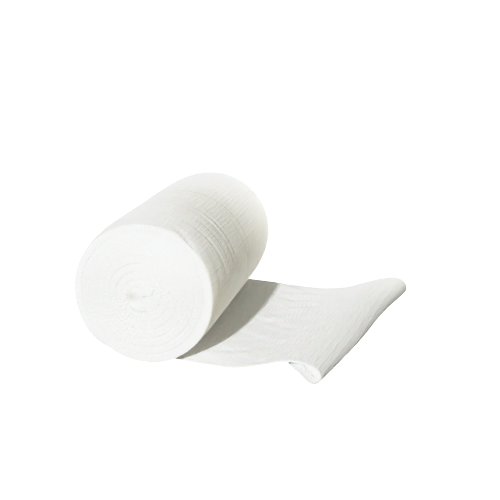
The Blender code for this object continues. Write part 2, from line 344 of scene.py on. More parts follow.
def edge_y(turns_in, side, through=0.5):
    """Where the cloth's near edge (side 0) or far edge (side 1) lies along the axis."""
    plain = from_table(EDGE_PLACES, turns_in, 1 + side) * ROLL_RADIUS
    if side == 0:
        radius = np.maximum(OUTER_RADIUS - TURN_PITCH * (turns_in + through), CORE_RADIUS)
        plain = plain + face_y(turns_in, radius)
    return plain + EDGE_UNEVEN * uneven(turns_in * 0.9, 11 + side) * ease(turns_in * 4)


def drawn_in(turns_in, y):
    """How far the roll's two ends are narrower than its middle, at its outer surface."""
    length, depth, power = NEAR_TAPER
    share, middle, reach = NEAR_FULLER
    behind = y - face_y(turns_in, ROLL_RADIUS)
    fuller = window(np.clip(turns_in, 0.0, OUTER_TURNS), middle, reach)
    near = depth * (1 - share * fuller) * np.clip(1 - behind / length, 0.0, 1.0) ** power
    k = 1 - np.clip((ROLL_LENGTH - y) / FAR_DRAW[0], 0.0, 1.0)
    return near + FAR_DRAW[1] * (1 - np.sqrt(1 - k * k))


def rim_round(turns_in, y):
    """The rounding of the outer turn's rim at the near end."""
    k = 1 - np.clip((y - edge_y(turns_in, 0)) / NEAR_ROUND, 0.0, 1.0)
    return NEAR_ROUND * (1 - np.sqrt(1 - k * k)) * (1 - step(turns_in, *NEAR_ROUND_END))


def turn_radius(turns_in, y):
    """Outer surface of a turn."""
    wound = mix(OUTER_RADIUS - TURN_PITCH, CORE_RADIUS, (turns_in - 1) / (TURNS - 1))
    plain = np.where(turns_in <= 1, OUTER_RADIUS - TURN_PITCH * turns_in, wound)
    plain = plain + TURN_UNEVEN * uneven(turns_in * 1.3, 3) * ease(turns_in - 0.9)
    return plain * (1 - drawn_in(turns_in, y) / OUTER_RADIUS) - rim_round(turns_in, y)


def crease_relief(turns_in, y):
    """How far creases and swells lift the outer turn's surface."""
    angle = np.degrees(turns_in * math.tau)
    along = y / ROLL_RADIUS
    relief = 0.0
    for place, drift, depth, half_width, middle, reach in CREASES:
        line = place + drift * (angle - 180) / 180
        wobble = CREASE_WOBBLE * np.sin(angle / 17 + place * 40)
        off = (along - line - wobble) * ROLL_RADIUS / half_width
        relief = relief - depth * np.exp(-off * off) * window(angle, middle, reach)
    for place, height, half_width, middle, reach in SWELLS:
        swell = height * np.exp(-((along - place) / half_width) ** 2)
        relief = relief + swell * window(angle, middle, reach)
    return relief * (turns_in < 1)


def groove_depth(boundary):
    """Depth of the groove between two turns, at a number of turns in."""
    depth = GROOVE * (1 + GROOVE_UNEVEN * uneven(boundary * 1.7, 5))
    for middle, reach, extra in DEEP_GROOVES:
        depth = depth + extra * window(boundary, middle, reach)
    return depth


def wound_point(turns_in, through, y, lift):
    """A point of the wound cloth. through is 0 on the turn's outer surface and 1 on its inner one."""
    outer = turn_radius(turns_in, y)
    inner = turn_radius(turns_in + 1, y) + TURN_GAP
    thin = np.clip(TURNS - turns_in, THINNEST_TURN, 1.0)
    radius = mix(outer, mix(outer, inner, thin), through) + lift
    angle = turns_in * math.tau
    below = np.round(turns_in)
    unsupported = ease((SAG_START - y) / (SAG_START - SAG_FULL))
    rest = STEP_HEIGHT * np.maximum(0.0, below - unsupported) + through * LYING_THICKNESS
    x = -radius * np.sin(angle)
    z = -radius * np.cos(angle)
    core = np.exp(-(radius / CORE_REACH) ** 2)
    x = AXIS_X + x * (1 + CORE_WIDER * core) + CORE_ASIDE * core
    z = z * (1 - CORE_FLATTER * core) + AXIS_HEIGHT + CORE_RISE * np.maximum(0.0, 1 - radius / ROLL_RADIUS)
    z = z - SAG * unsupported * np.maximum(0.0, np.cos(angle)) * ease(radius / ROLL_RADIUS)
    near_floor = np.abs(np.cos(angle)) > 0.5
    return np.stack([x, y, np.where(near_floor, soft_max(z, rest, REST_SOFTNESS), z)], axis=-1)


def ridge_height(turns_in):
    height = EDGE_RIDGE
    for middle, reach, extra in STRONG_RIDGES:
        height = height + extra * window(turns_in, middle, reach)
    return height


def edge_bulge(turns_in, through, along, side):
    """How far an edge of the cloth falls back from its flat crown, with the stitches that cross it."""
    off = 2 * through - 1
    depth = np.where(off < 0, groove_depth(turns_in), groove_depth(turns_in + 1))
    pull = depth * np.abs(off) ** 3 + EDGE_DIP[0] * np.exp(-(off / EDGE_DIP[1]) ** 2)
    layer = 2 * np.floor(turns_in) + (off > 0)
    shift = math.pi * (off > 0) + 1.3 * np.sin(turns_in * 4.1) + 0.7 * uneven(along * 60, 21 + side)
    beat = np.cos(math.tau * along / EDGE_STITCH + shift + 0.6 * np.sin(layer * 2.3))
    across = 1 - np.abs(2 * np.abs(off) - 1) ** 2.5
    unevenness = uneven(along * 150 + layer * 3.7, 31 + side)
    strength = ridge_height(turns_in) * (1 + EDGE_RIDGE_UNEVEN * unevenness)
    return pull - strength * (EDGE_RIDGE_REST + (1 - EDGE_RIDGE_REST) * beat) * across


def stitch_rows(turns, along, y):
    """How far the rows of stitches lift the wound cloth's outer layer."""
    phase = math.pi * along / COURSE
    strength = RIB * (1 + 0.35 * uneven(y * 160 + turns * 3, 41)) * (0.7 + 0.5 * uneven(along * 60, 42) ** 2)
    every = RIB_WAVES[0] * np.cos(2 * phase + 0.3 * uneven(y * 40, 43))
    second = RIB_WAVES[1] * np.cos(phase + 0.6 * uneven(y * 20, 44))
    return strength * (every + second)


def wound_cloth(start, end, rings, places, edge_points):
    """Rings of a closed section along the spiral: outer layer, far edge, inner layer, near edge. The map goes
    once round the section in the same order."""
    turns = np.linspace(start, end, rings)
    radii = turn_radius(turns, 0.5 * ROLL_LENGTH)
    steps = np.diff(turns) * math.tau * 0.5 * (radii[1:] + radii[:-1])
    along = np.concatenate([[0.0], np.cumsum(steps)])
    even = np.interp(np.linspace(0, along[-1], rings), along, turns)
    turns, along = even, np.linspace(0, along[-1], rings)
    rim = (1 - np.cos(np.linspace(0, np.pi, edge_points))) / 2
    inside = np.linspace(0.96, 0.04, 4)
    section = [(w, 0.0, "layer") for w in places] + [(1.0, g, "far") for g in rim]
    section += [(w, 1.0, "layer") for w in inside] + [(0.0, g, "near") for g in rim[::-1]]
    rows, u = [], []
    for w, g, part in section:
        near = edge_y(turns, 0, g) + edge_bulge(turns, np.float64(g), along, 0)
        far = edge_y(turns, 1) - edge_bulge(turns, np.float64(g), along, 1)
        y = {"layer": mix(near, far, w), "far": far, "near": near}[part]
        lift = np.zeros(rings)
        if g == 0.0:
            off_edge = ease(np.minimum(w, 1 - w) * WOUND_FLAT_EDGE)
            lift = stitch_rows(turns, along, y) * off_edge + crease_relief(turns, y) * off_edge
        rows.append(wound_point(turns, g, y, lift))
        if part == "layer":
            u.append(w * CLOTH_WIDTH if g == 0.0 else (2 - w) * CLOTH_WIDTH + TURN_PITCH)
        elif part == "far":
            u.append(CLOTH_WIDTH + g * TURN_PITCH)
        else:
            u.append(2 * CLOTH_WIDTH + (2 - g) * TURN_PITCH)
    points = np.stack(rows, axis=1)
    points += np.array(PLACE)
    return points, np.array(u), along


# The loose end

def fold_line(across):
    """The fold square to its line, at one place across: distance, height and length along the cloth."""
    given = [Vector((mix(a, c, across), mix(b, d, across))) * ROLL_RADIUS for a, b, c, d in FOLD_PROFILE]
    curve, toe = [], 0
    for k in range(len(given) - 1):
        a, b = given[k], given[k + 1]
        before, after = given[max(k - 1, 0)], given[min(k + 2, len(given) - 1)]
        length = (b - a).length
        tangent_a = (b - before).normalized() * length
        tangent_b = (after - a).normalized() * length
        if k == TOE_ROW:
            toe = len(curve)
        for i in range(FOLD_STEPS):
            t = i / FOLD_STEPS
            bend = tangent_a * (t * (1 - t) ** 2) - tangent_b * (t * t * (1 - t))
            curve.append(a.lerp(b, t * t * (3 - 2 * t)) + bend)
    curve.append(given[-1])
    path = np.array([[p.x, max(p.y, 0.0)] for p in curve])
    lengths = np.concatenate([[0.0], np.cumsum(np.linalg.norm(np.diff(path, axis=0), axis=1))])
    return path, lengths, lengths[toe]


def course_place(row, course_x):
    """How far along the cloth a row of stitches lies at one place across: square to the cloth near the roll,
    and nearly in line with the fold at the fold. Each pass goes half way to where the swing puts it."""
    sin, cos = math.sin(FOLD_SKEW), math.cos(FOLD_SKEW)
    middle = 0.5 * ROLL_LENGTH
    along = course_x * cos - row * sin
    share, place, length = FOLD_SWING
    for _ in range(40):
        swing = share * step(along / ROLL_RADIUS, place, length)
        along = 0.5 * along + 0.5 * (course_x * cos - row * sin + swing * (row - middle) * sin)
    return along


def wrinkle_relief(x, y):
    """How far wrinkles lift the loose end at a distance along the cloth and a place across it."""
    relief = 0.0
    for x1, y1, x2, y2, height, half_width in WRINKLES:
        start = np.array((x1, y1)) * ROLL_RADIUS
        line = np.array((x2, y2)) * ROLL_RADIUS - start
        length = np.linalg.norm(line)
        line = line / length
        t = ((x - start[0]) * line[0] + (y - start[1]) * line[1]) / length
        off = (x - start[0]) * line[1] - (y - start[1]) * line[0] + WRINKLE_WANDER * np.sin(t * 5 + x1 * 9)
        relief = relief + height * np.exp(-(off / half_width) ** 2) * window(t, 0.5, WRINKLE_REACH)
    return relief


def middle_surface(across, course_x):
    """The loose end's middle surface at one place across, for every row of stitches."""
    sin, cos = math.sin(FOLD_SKEW), math.cos(FOLD_SKEW)
    row = mix(*LOOSE_EDGES, across) * ROLL_RADIUS
    path, lengths, toe = fold_line(across)
    leaves = path[0, 0]
    along = course_place(row, course_x)
    toe_at, end_at = leaves + toe, leaves + lengths[-1]
    stretched = toe_at + (along - toe_at) * (end_at - toe_at) / (along[-1] - toe_at)
    along = np.where(along > toe_at, stretched, along)
    n = np.where(along < leaves, along, np.interp(along - leaves, lengths, path[:, 0]))
    z = np.where(along < leaves, 0.0, np.interp(along - leaves, lengths, path[:, 1]))
    n = n + from_table(FOLD_BOW, across, 1) * ROLL_RADIUS * ease((along - leaves) / toe)
    where = (along + row * sin) / cos / ROLL_RADIUS
    near_shift, far_shift = from_table(EDGE_WANDER, where, 1), from_table(EDGE_WANDER, where, 2)
    q = (row + mix(near_shift * (1 - across) ** 3, far_shift, across ** 3) * ROLL_RADIUS + along * sin) / cos
    flap = np.maximum(0.0, along - toe_at)
    drift = FLAP_DRIFT * flap * ease(flap / FLAP_DRIFT_ONSET) * (1 - across)
    surface = np.stack([n * cos + q * sin, q * cos - n * sin + drift, z + LYING_THICKNESS / 2], axis=-1)
    return surface, toe_at, along


def thinned(w, course_x):
    """How much thinner the cloth lies at a place across it, for every row of stitches. It is thinner on its
    upper side where it lies flat, and on its lower side where it rises to the fold."""
    near, far = w * CLOTH_WIDTH, (1 - w) * CLOTH_WIDTH
    rising = step(course_x / ROLL_RADIUS, *RISE)
    thinner = EDGE_THINNER * max(1 - near / NEAR_BAND, 1 - ease(far / FAR_BAND), 0.0)
    return thinner * (1 - rising), thinner * UNDER_THINNER * rising


def hem_fill(w, base, along, toe_at):
    """How far the turned-under cloth and the front of the fold swell inwards at the near edge, so that only a
    slit is left under the fold."""
    distance = base[:, 0] * math.cos(FOLD_SKEW) - base[:, 1] * math.sin(FOLD_SKEW)
    rising = np.array([(row[0], row[1]) for row in FOLD_PROFILE[:6]]) * ROLL_RADIUS
    room = np.interp(distance, rising[:, 0], rising[:, 1]) - LYING_THICKNESS
    past_toe = along - toe_at
    under = HEM_FILL * np.maximum(0.0, room) * step(past_toe, *HEM_START)
    front = FRONT_FILL * step(past_toe, *FRONT_START) * (1 - step(past_toe, *FRONT_END))
    return np.maximum(under, front) * (1 - ease(w / FILL_REACH))


def lying_relief(w, course_x, phase):
    """How far rows of stitches, wrinkles and waves lift the loose end's upper side, at one place across."""
    out = course_x / ROLL_RADIUS
    more, place, length = RIB_AT_FOLD
    less, under_place, under_length = RIB_UNDER_FOLD
    ribbed = LYING_RIB * (RIB_BEFORE_FOLD + more * step(out, place, length))
    ribbed = ribbed * (1 - less * step(out, under_place, under_length))
    share, far_place, far_length = RIB_FAR_EDGE
    strength = ribbed * (1 + 0.9 * uneven(w * 16 + course_x * 60, 51))
    strength = strength * (1 - share * step(w, far_place, far_length))
    every = LYING_RIB_WAVES[0] * np.cos(phase + 1.3 * uneven(w * 9.0, 53))
    second = LYING_RIB_WAVES[1] * np.cos(2 * phase + 1.5 * uneven(w * 14.0, 54))
    lift = strength * (every + second)
    lift = lift + wrinkle_relief(course_x, mix(*LOOSE_EDGES, w) * ROLL_RADIUS)
    waves = WAVES[0] * uneven(w * 5 + course_x * 20, 57) + WAVES[1] * uneven(w * 11 - course_x * 45, 58)
    lift = lift + waves * (1 - step(out, *WAVES_END))
    return lift * ease(min(w, 1 - w) * CLOTH_WIDTH / FLAT_EDGE)


def lying_cloth(rings, places, edge_points):
    """Rings of a closed section along the loose end: upper layer, far edge, lower layer, near edge."""
    course_x = np.linspace(AXIS_X, LOOSE_LENGTH, rings)
    more, place, length = FOLD_STRETCH
    stretch = 1 + more * step(course_x / ROLL_RADIUS, place, length)
    courses = np.concatenate([[0.0], np.cumsum(np.diff(course_x) / (LYING_COURSE * stretch[1:]))])
    strips = 60
    middle, toes, alongs = [], [], []
    for w in np.linspace(0, 1, strips + 1):
        surface, toe_at, along = middle_surface(w, course_x)
        middle.append(surface)
        toes.append(toe_at)
        alongs.append(along)
    middle, alongs = np.stack(middle, axis=1), np.stack(alongs, axis=1)
    down = np.gradient(middle, axis=0)
    side = np.gradient(middle, axis=1)
    normal = np.cross(down, side)
    normal /= np.linalg.norm(normal, axis=2, keepdims=True)

    def at(grid, w):
        k = min(int(w * strips), strips - 1)
        return mix(grid[:, k], grid[:, k + 1], w * strips - k)

    rim = np.linspace(0, np.pi, edge_points + 2)[1:-1]
    under = np.concatenate([[0.0, 0.02, 0.045, 0.07, 0.10, 0.13], np.linspace(0.18, 1.0, 26)])
    # Place across, height from -1 below to 1 above, share of the edge's bulge
    section = [(w, 1.0, 0.0) for w in places] + [(1.0, math.cos(a), math.sin(a)) for a in rim]
    section += [(w, -1.0, 0.0) for w in under[::-1]] + [(0.0, -math.cos(a), math.sin(a)) for a in rim]
    rows, u = [], []
    phase = math.pi * courses
    full = LYING_THICKNESS / 2
    for w, height, out in section:
        base, up, to_side = at(middle, w), at(normal, w), at(side, w)
        to_side = to_side / np.linalg.norm(to_side, axis=1, keepdims=True)
        along, toe_at = at(alongs, w), mix(toes[0], toes[-1], w)
        top_thinner, under_thinner = thinned(w, course_x)
        fill = hem_fill(w, base, along, toe_at)
        above = full - top_thinner
        below = full + fill
        below = below - under_thinner * (1 - step(along, toe_at - TOE_BAND, TOE_BAND))
        if out:
            middle_height, half = 0.5 * (above - below), 0.5 * (above + below)
            outward = np.minimum(half, EDGE_BULGE) * out * (1 if w > 0.5 else -1)
            outward = outward * (1 + EDGE_NOTCH * np.cos(phase) * (fill < SOME_FILL))
            point = base + up * (middle_height + half * height)[:, None] + to_side * outward[:, None]
            u.append(CLOTH_WIDTH if w > 0.5 else 2 * CLOTH_WIDTH)
        elif height > 0:
            point = base + up * (above + lying_relief(w, course_x, phase))[:, None]
            u.append(w * CLOTH_WIDTH)
        else:
            point = base - up * below[:, None]
            u.append((2 - w) * CLOTH_WIDTH)
        rows.append(point)
    points = np.stack(rows, axis=1)
    points[..., 2] = np.maximum(points[..., 2], 0.0)
    points += np.array(PLACE)
    return points, np.array(u), courses * COURSE


# Meshes

def cloth_from(name, points, u, v):
    """A closed cloth from rings of points, with its own map: u round the section and v along the cloth."""
    rings, count = points.shape[:2]
    bpy.ops.mesh.primitive_grid_add(x_subdivisions=count, y_subdivisions=rings - 1, size=0.1)
    piece = bpy.context.object
    piece.name = name
    mesh = piece.data
    mesh.name = name
    wrapped = np.concatenate([points, points[:, :1]], axis=1)
    mesh.vertices.foreach_set("co", wrapped.reshape(-1).astype(np.float32))
    u = np.append(u, 2 * u[-1] - u[-2])
    plan = np.stack(np.meshgrid(u, v), axis=-1).reshape(-1, 2)
    corners = np.zeros(len(mesh.loops), np.int32)
    mesh.loops.foreach_get("vertex_index", corners)
    mesh.uv_layers.active.name = "knit"
    mesh.uv_layers.active.data.foreach_set("uv", plan[corners].reshape(-1).astype(np.float32))
    mesh.update()
    bpy.ops.object.mode_set(mode="EDIT")
    bpy.ops.mesh.select_mode(type="VERT")
    bpy.ops.mesh.select_all(action="SELECT")
    bpy.ops.mesh.remove_doubles(threshold=0.000001)
    bpy.ops.mesh.fill_holes(sides=0)
    bpy.ops.mesh.select_all(action="SELECT")
    bpy.ops.mesh.normals_make_consistent(inside=False)
    bpy.ops.object.mode_set(mode="OBJECT")
    bpy.ops.object.shade_smooth_by_angle(angle=math.radians(70))
    piece.select_set(False)
    return piece


def finish_piece(piece, material, node):
    piece.data.materials.clear()
    piece.data.materials.append(material)
    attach(piece, "root")
    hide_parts(node)


# Materials

class Value:
    """A shader socket that can be used in sums."""

    def __init__(self, nodes, socket):
        self.nodes = nodes
        self.socket = socket

    def sum(self, operation, *values):
        return self.nodes.add("ShaderNodeMath", {"operation": operation}, dict(enumerate(values)))

    def __add__(self, other):
        return self.sum("ADD", self, other)

    def __radd__(self, other):
        return self.sum("ADD", other, self)

    def __sub__(self, other):
        return self.sum("SUBTRACT", self, other)

    def __rsub__(self, other):
        return self.sum("SUBTRACT", other, self)

    def __mul__(self, other):
        return self.sum("MULTIPLY", self, other)

    def __rmul__(self, other):
        return self.sum("MULTIPLY", other, self)

    def __truediv__(self, other):
        return self.sum("DIVIDE", self, other)

    def __pow__(self, other):
        return self.sum("POWER", self, other)

    def __rpow__(self, other):
        return self.sum("POWER", other, self)

    def __abs__(self):
        return self.sum("ABSOLUTE", self)

    def part(self):
        return self.sum("FRACT", self)

    def wave(self):
        return self.sum("COSINE", self * math.tau)


class Nodes:
    """The nodes of one material."""

    def __init__(self, name):
        self.material = bpy.data.materials.new(name)
        self.material.use_nodes = True
        self.tree = self.material.node_tree
        self.shader = self.tree.nodes["Principled BSDF"]

    def put(self, node, sockets):
        for name, value in sockets.items():
            if isinstance(value, Value):
                self.tree.links.new(value.socket, node.inputs[name])
            else:
                node.inputs[name].default_value = value

    def add(self, kind, settings=None, sockets=None, output=0):
        node = self.tree.nodes.new(kind)
        for name, value in (settings or {}).items():
            setattr(node, name, value)
        self.put(node, sockets or {})
        return Value(self, node.outputs[output])


def blend_colours(nodes, factor, a, b):
    """Mix two colours. A Mix node has a pair of sockets of each kind, so these are taken by place."""
    return nodes.add("ShaderNodeMix", {"data_type": "RGBA"}, {0: factor, 6: a, 7: b}, output=2)


def ramp(nodes, value, start, end, low=0.0, high=1.0):
    """low where the value is at the start, rising smoothly to high at the end."""
    return nodes.add("ShaderNodeMapRange", {"interpolation_type": "SMOOTHSTEP"},
                     {"Value": value, "From Min": start, "From Max": end, "To Min": low, "To Max": high})


def noise(nodes, place, scale, detail, roughness=0.5):
    return nodes.add("ShaderNodeTexNoise", {},
                     {"Vector": place, "Scale": scale, "Detail": detail, "Roughness": roughness})


WHITE_YARN = (0.885, 0.880, 0.855, 1.0)
SHADED_YARN = (0.815, 0.805, 0.765, 1.0)
COOL_YARN = (0.905, 0.905, 0.895, 1.0)
MARKER_YARN = (0.56, 0.50, 0.33, 1.0)
# The last two are painted shade: in the creases, on the fold, on the dished near face, in the core's hollow
# and along the loose end's near edge.
PAINTED_SHADE_YARN = (0.56, 0.55, 0.46, 1.0)
EDGE_SHADE_YARN = (0.50, 0.49, 0.40, 1.0)

# Heights of the parts of a stitch, and of the fibres on it
HEAD_HEIGHT = 0.000034
PAIR_HEIGHT = 0.000014
VALLEY_DEPTH = 0.000022
FIBRE_HEIGHT = 0.00009
STRAND_HEIGHT = 0.00015      # strands that run along the rows
OUTER_STRAND_HEIGHT = 0.00036

# How strongly the stitches stand out: a height above the floor and the strength there, and the same higher up
OUTER_RELIEF = (0.030, 0.45, 0.072, 2.10)
INNER_RELIEF = (0.012, 0.55, 0.032, 1.20)

# Painted shade darkens the loose end at its near edge up to the fold. The first two pairs say where across
# the cloth it starts to be darker and where it is darkest, above and below. The last says where along the
# cloth that ends and where it is full.
EDGE_SHADE = 0.35
EDGE_SHADE_ABOVE = (0.0010, 0.0001)
EDGE_SHADE_BELOW = (1.99 * CLOTH_WIDTH, 1.999 * CLOTH_WIDTH)
EDGE_SHADE_ALONG = (0.078, 0.066)
# Painted shade, darker and warmer, across the fold: place along the cloth, how far to either side, strength
FOLD_SHADE = (0.089, 0.010, 0.30)
# Painted shade between the creases on the roll's right: place across and along, how narrow each way, strength
CREASE_SHADE = (0.036, 0.132, 1500.0, 800.0, 0.44)
MARKER_STRENGTH = 0.7


# Painted shade on the loose end: along its near edge before the fold, and across the fold.
def loose_end_painted_shade(nodes, colour, u, v, edge_shade):
    edge = ramp(nodes, u, *EDGE_SHADE_ABOVE) + ramp(nodes, u, *EDGE_SHADE_BELOW)
    before_fold = ramp(nodes, v, *EDGE_SHADE_ALONG)
    colour = blend_colours(nodes, edge * before_fold * edge_shade, colour, EDGE_SHADE_YARN)
    # Painted shade across the fold
    place, reach, strength = FOLD_SHADE
    off = (v - place) * (1 / reach)
    return blend_colours(nodes, math.e ** (0 - off * off) * strength, colour, PAINTED_SHADE_YARN)


def crease_shade_and_marker(nodes, colour, u, v, row, thread):
    """The painted shade between the creases, and the marker thread, which shows on every second row."""
    place_across, place_along, narrow_across, narrow_along, strength = CREASE_SHADE
    across, along = u - place_across, v - place_along
    # Painted shade between the creases
    crease_shade = math.e ** (0 - across * across * narrow_across - along * along * narrow_along)
    colour = blend_colours(nodes, crease_shade * strength, colour, PAINTED_SHADE_YARN)
    middle, slant, half = thread
    mark = ramp(nodes, abs(u - middle - v * slant) / half, 1.25, 0.7)
    dash = ramp(nodes, (row * 0.5).wave(), -0.75, 0.1, 0.15, 1.0)
    return blend_colours(nodes, mark * dash * MARKER_STRENGTH, colour, MARKER_YARN)


def knit(name, thread=None, strand_height=STRAND_HEIGHT, edge_shade=0.0, painted_shade_places=(), relief=None):
    """White knit: rows and columns of stitches, loose fibres, slight changes of tone and painted shade.
    thread is the place across, slant and half width of the marker. A painted shade place is x, z, its reach
    and its strength."""
    nodes = Nodes(name)
    plan = nodes.add("ShaderNodeUVMap", {"uv_map": "knit"})
    u, v = (nodes.add("ShaderNodeSeparateXYZ", {}, {0: plan}, output=k) for k in (0, 1))
    place = nodes.add("ShaderNodeTexCoord", output="Object")

    stretched = nodes.add("ShaderNodeCombineXYZ", {}, {"X": u, "Y": v * 0.07})
    drift = noise(nodes, place, 160.0, 2.0)
    column = u / WALE + (drift - 0.5) * 0.5
    leg = abs(column.part() - 0.5) * 2.0
    row = v / COURSE + (drift - 0.5) * 0.3
    heads = (row + leg * 0.34).wave()
    pairs = (row * 0.5 + leg * 0.12).wave()
    valleys = column.wave()
    fibres = noise(nodes, place, 1900.0, 3.0, 0.6)
    strands = noise(nodes, stretched, 1000.0, 3.0)
    height = heads * HEAD_HEIGHT + pairs * PAIR_HEIGHT - valleys * VALLEY_DEPTH
    height = height + fibres * FIBRE_HEIGHT + strands * strand_height
    if relief:
        low, low_strength, high, high_strength = relief
        above_floor = nodes.add("ShaderNodeSeparateXYZ", {}, {0: place}, output=2)
        height = height * ramp(nodes, above_floor, low, high, low_strength, high_strength)
    bump = nodes.add("ShaderNodeBump", {}, {"Height": height, "Strength": 0.8, "Distance": 1.0})

    cloudy = noise(nodes, place, 120.0, 4.0)
    grain = noise(nodes, place, 900.0, 2.0)
    # Darker between the stitch heads is painted shade; the cloudy, grain and strand parts are tone that
    # differs at random.
    depth = (0.5 - heads * 0.5) * 0.45 + (cloudy - 0.5) * 0.4 + (grain - 0.5) * 0.9 + (0.5 - strands) * 0.9
    colour = blend_colours(nodes, depth, WHITE_YARN, SHADED_YARN)
    colour = blend_colours(nodes, (cloudy - 0.45) * 1.2, colour, COOL_YARN)
    # Painted shade round each of these places
    for x, z, reach, strength in painted_shade_places:
        middle = (x, PLACE.y, z)
        off = nodes.add("ShaderNodeVectorMath", {"operation": "DISTANCE"}, {0: place, 1: middle}, output=1)
        colour = blend_colours(nodes, ramp(nodes, off, reach, 0.0) * strength, colour, PAINTED_SHADE_YARN)
    if edge_shade:
        colour = loose_end_painted_shade(nodes, colour, u, v, edge_shade)
    if thread:
        colour = crease_shade_and_marker(nodes, colour, u, v, row, thread)
    nodes.put(nodes.shader, {
        "Base Color": colour,
        "Normal": bump,
        "Roughness": 0.92,
        "Specular IOR Level": 0.25,
        "Sheen Weight": 0.28,
        "Sheen Roughness": 0.45,
        "Subsurface Weight": 0.12,
        "Subsurface Scale": 0.002,
    })
    return nodes.material


# The pieces

def outer_density(y):
    """How closely the places across the outer turn lie: closer at its creases and towards both ends."""
    weight = np.full_like(y, 1.0)
    for place, _, _, half_width, _, _ in CREASES:
        weight += 1.5 * np.exp(-((y - place * ROLL_RADIUS) / (1.9 * half_width)) ** 2)
    weight += 1.5 * np.exp(-y / 0.0035) + 1.0 * np.exp(-(ROLL_LENGTH - y) / 0.006)
    return np.minimum(weight, 3.6)


def make_outer_turn():
    span = 3.19 * ROLL_RADIUS
    places = spread(0.0, span, 112, outer_density) / span
    # Close places behind the rim, then where the density asks for them
    rim = np.array((0.0004, 0.0016, 0.0036, 0.0064, 0.0100, 0.0142))
    places = np.concatenate([rim, places[places > 0.018][:-1]])
    rings = 680
    points, u, v = wound_cloth(0.0, OUTER_TURNS, rings, places, 9)
    piece = cloth_from("outer_turn", points, u, v)
    material = knit("outer turn knit", thread=(THREAD_PLACE * CLOTH_WIDTH, THREAD_SLANT, THREAD_HALF),
                    strand_height=OUTER_STRAND_HEIGHT, relief=OUTER_RELIEF)
    finish_piece(piece, material, "roll")
    return piece


def make_inner_turns(material):
    points, u, v = wound_cloth(OUTER_TURNS, INNER_END, 2150, np.linspace(0.02, 0.98, 4), 15)
    piece = cloth_from("inner_turns", points, u, v)
    finish_piece(piece, material, "roll")
    return piece


def make_loose_end(material):
    places = np.concatenate([[0.0, 0.006], np.linspace(0.014, 0.986, 76), [0.994, 1.0]])
    points, u, v = lying_cloth(560, places, 6)
    piece = cloth_from("loose_end_cloth", points, u, v)
    finish_piece(piece, material, "loose_end")
    return piece


# The cloth's inner end from its root to its tip: share of its length, then in millimetres how high above the
# core it lies, how far it stands out, half its width, and how far aside it lies
TONGUE = (
    (0.00, -8.2, -1.4, 2.4, -1.2),
    (0.06, -8.0, 0.4, 3.4, -1.3),
    (0.14, -7.3, 1.3, 4.1, -1.6),
    (0.28, -5.5, 1.5, 4.5, -2.1),
    (0.42, -3.2, 1.1, 3.5, -1.9),
    (0.52, -0.8, 0.5, 1.7, -1.3),
    (0.60, -0.1, 0.1, 3.2, -0.6),
    (0.68, 0.3, -0.1, 4.8, 0.0),
    (0.80, 1.4, -0.2, 5.2, 0.2),
    (1.00, 3.1, -0.4, 5.4, 0.3),
)
TONGUE_WAIST = (0.56, 0.08)              # it is flatter from here on, over this share of its length
TONGUE_THICKNESS = 0.9                   # in millimetres
TONGUE_MAP = 0.014                       # its length in the material's map


def make_inner_tongue(material):
    """The cloth's inner end, folded to a soft point that stands a little out of the core."""
    rings, count = 48, 28
    t = np.linspace(0, 1, rings)
    s = np.linspace(-1, 1, count)
    share, *measures = zip(*TONGUE)
    rise, out, half, aside = (np.interp(t, share, measure) for measure in measures)
    for _ in range(2):
        for line in (rise, out, half):
            line[1:-1] = 0.25 * line[:-2] + 0.5 * line[1:-1] + 0.25 * line[2:]
    centre = np.array((PLACE.x + AXIS_X + 0.0006, PLACE.y + 0.045 * ROLL_RADIUS, AXIS_HEIGHT + CORE_RISE))
    layers = []
    for offset, order in ((0.0, s), (TONGUE_THICKNESS, s[::-1])):
        x = half[:, None] * order[None, :] + aside[:, None]
        sink = offset + 1.5 * np.abs(order[None, :]) ** 2.5 * (half[:, None] / 4.0)
        z = rise[:, None] - 0.5 * order[None, :] ** 2 - 0.25 * offset
        beyond_waist = step(t[:, None], *TONGUE_WAIST)
        y = -out[:, None] + sink * (1 - 0.8 * beyond_waist)
        layers.append(np.stack([x, y + 0 * x, z + 0 * x], axis=-1) * 0.001 + centre)
    points = np.concatenate(layers, axis=1)
    u = np.concatenate([[0.0], np.cumsum(np.linalg.norm(np.diff(points[10], axis=0), axis=1))])
    piece = cloth_from("inner_end_tongue", points, u, t * TONGUE_MAP)
    finish_piece(piece, material, "roll")
    return piece


# The camera, with its place in roll radii from the near end of the roll's axis, and its angles in radians
CAMERA_PLACE = (3.816, -7.571, 4.841)
CAMERA_YAW, CAMERA_PITCH = -0.292, 0.362
CAMERA_LENS = 51.07


def make_camera():
    level = math.cos(CAMERA_PITCH)
    forward = Vector((math.sin(CAMERA_YAW) * level, math.cos(CAMERA_YAW) * level, -math.sin(CAMERA_PITCH)))
    data = bpy.data.cameras.new("camera")
    data.sensor_width = 36.0
    data.lens = CAMERA_LENS
    data.clip_start = 0.01
    data.clip_end = 60.0
    camera = bpy.data.objects.new("camera", data)
    bpy.context.scene.collection.objects.link(camera)
    camera.location = Vector(CAMERA_PLACE) * ROLL_RADIUS + PLACE
    camera.rotation_euler = forward.to_track_quat("-Z", "Y").to_euler()
    bpy.context.scene.camera = camera


